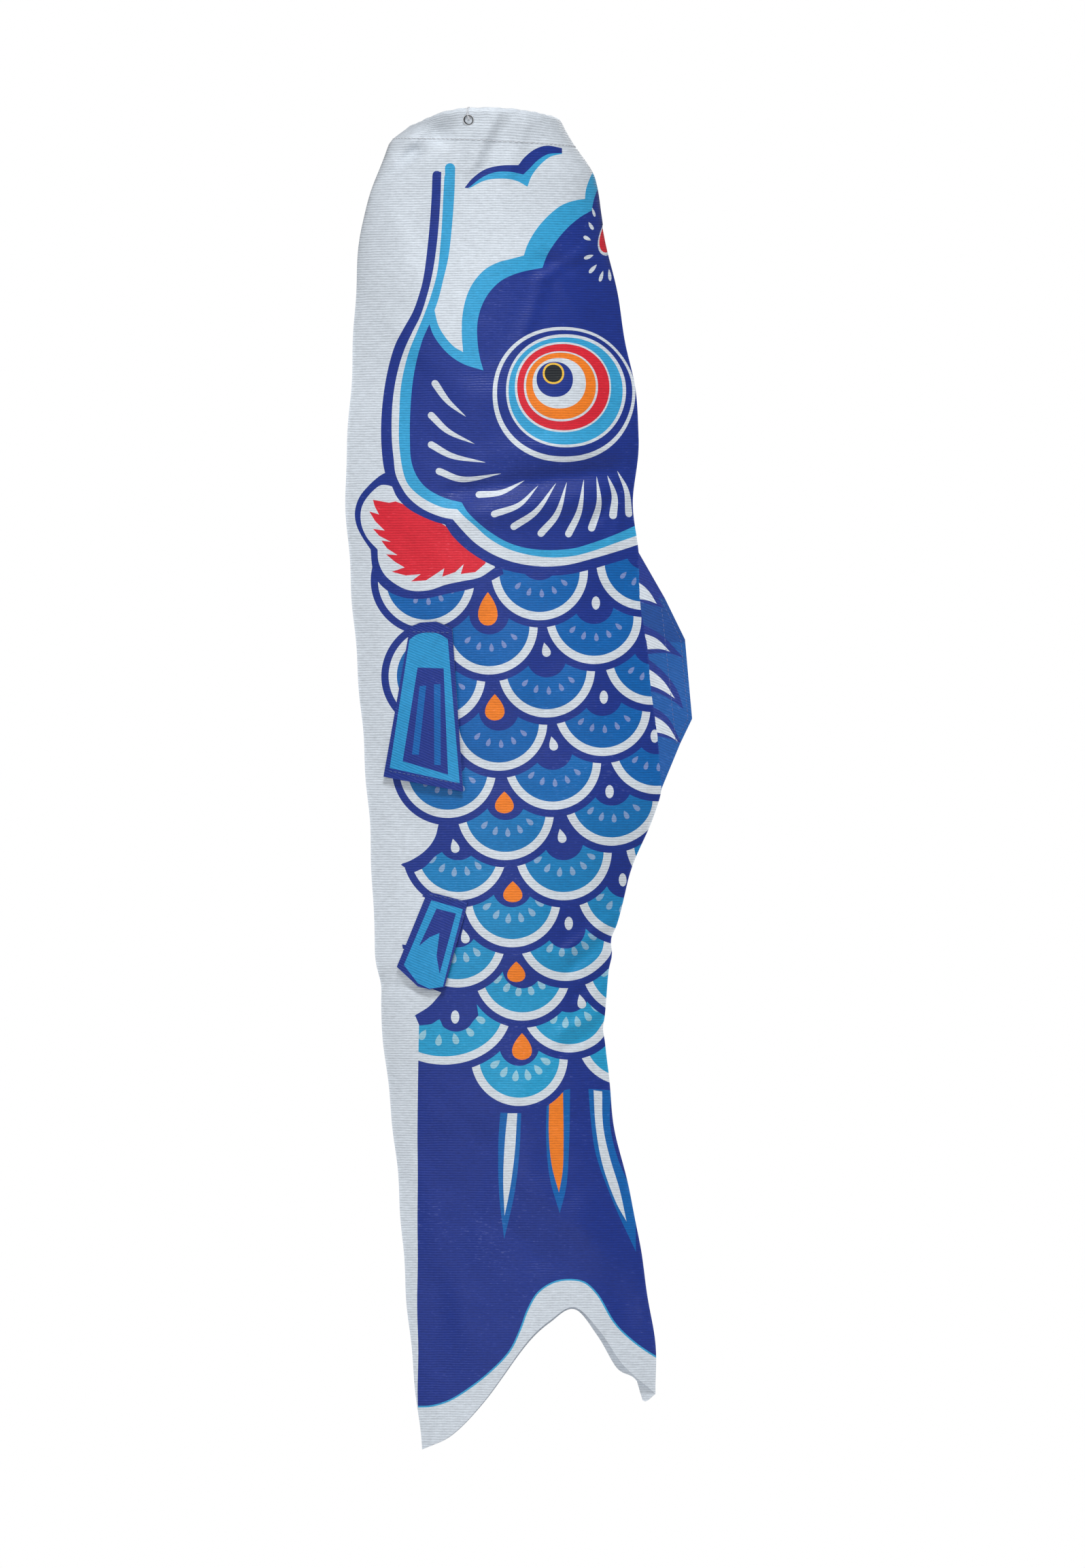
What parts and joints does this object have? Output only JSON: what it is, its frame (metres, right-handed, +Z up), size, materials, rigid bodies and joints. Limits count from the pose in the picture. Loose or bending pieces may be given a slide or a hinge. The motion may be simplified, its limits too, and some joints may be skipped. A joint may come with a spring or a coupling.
{
  "type": "carp streamer",
  "caption": "Small carp-shaped streamer: a printed cloth sleeve with fins that hangs limp from a wire hoop sewn into its open mouth.",
  "frame": {"origin": "middle of the mouth, level with the top of the rim, where the two eyelets' bridle would meet the hoop", "axes": "+Z up, out of the mouth; -Y is the fish's left side, which faces the viewer; +X is its back with the dorsal fin, -X its belly"},
  "size_m": [0.181, 0.078, 0.7],
  "materials": {
    "printed_cloth": "satin woven polyester, printed",
    "white_cloth": "satin woven polyester",
    "fin_cloth": "satin woven polyester, printed",
    "eyelet_plastic": "smooth moulded",
    "hoop_wire": "drawn spring wire"
  },
  "bodies": {
    "fore_body": {"mouth_hoop": "hoop_wire", "hoop_ferrule": "hoop_wire", "mouth_hem": "white_cloth", "front_eyelet": "eyelet_plastic", "back_eyelet": "eyelet_plastic", "left_fore_panel": "printed_cloth", "right_fore_panel": "printed_cloth", "back_seam_fore": "white_cloth", "belly_seam_fore": "white_cloth"},
    "middle_body": {"left_middle_panel": "printed_cloth", "right_middle_panel": "printed_cloth", "back_seam_middle": "white_cloth", "belly_seam_middle": "white_cloth"},
    "tail": {"left_tail_panel": "printed_cloth", "right_tail_panel": "printed_cloth", "back_seam_tail": "white_cloth", "belly_seam_tail": "white_cloth"},
    "dorsal_fin": {"dorsal_fin": "fin_cloth"},
    "left_pectoral_fin": {"left_pectoral_fin": "fin_cloth"},
    "right_pectoral_fin": {"right_pectoral_fin": "fin_cloth"},
    "left_pelvic_fin": {"left_pelvic_fin": "fin_cloth"},
    "right_pelvic_fin": {"right_pelvic_fin": "fin_cloth"}
  },
  "joints": [
    {"name": "body_bend", "type": "hinge", "parent": "fore_body", "child": "middle_body", "pos_m": [0, 0, -0.387], "axis": [1, 0, 0], "range_deg": [-30, 30]},
    {"name": "tail_bend", "type": "hinge", "parent": "middle_body", "child": "tail", "pos_m": [0, 0, -0.53], "axis": [1, 0, 0], "range_deg": [-40, 40]},
    {"name": "dorsal_fin_fold", "type": "hinge", "parent": "fore_body", "child": "dorsal_fin", "pos_m": [0.08, 0, -0.229], "axis": [0.106, 0, -0.9944], "range_deg": [-85, 85], "stiffness_Nm_per_rad": 0.0001},
    {"name": "left_pectoral_flap", "type": "hinge", "parent": "fore_body", "child": "left_pectoral_fin", "pos_m": [-0.0285, -0.01782, -0.27], "axis": [-0.9652, 0.2616, 0], "range_deg": [0, 100]},
    {"name": "right_pectoral_flap", "type": "hinge", "parent": "fore_body", "child": "right_pectoral_fin", "pos_m": [-0.0285, 0.01782, -0.27], "axis": [0.9652, 0.2616, 0], "range_deg": [0, 100]},
    {"name": "left_pelvic_flap", "type": "hinge", "parent": "middle_body", "child": "left_pelvic_fin", "pos_m": [-0.0201, -0.01503, -0.411], "axis": [-0.9474, 0.2016, 0.2487], "range_deg": [0, 90]},
    {"name": "right_pelvic_flap", "type": "hinge", "parent": "middle_body", "child": "right_pelvic_fin", "pos_m": [-0.0201, 0.01503, -0.411], "axis": [0.9474, 0.2016, -0.2487], "range_deg": [0, 90]}
  ]
}
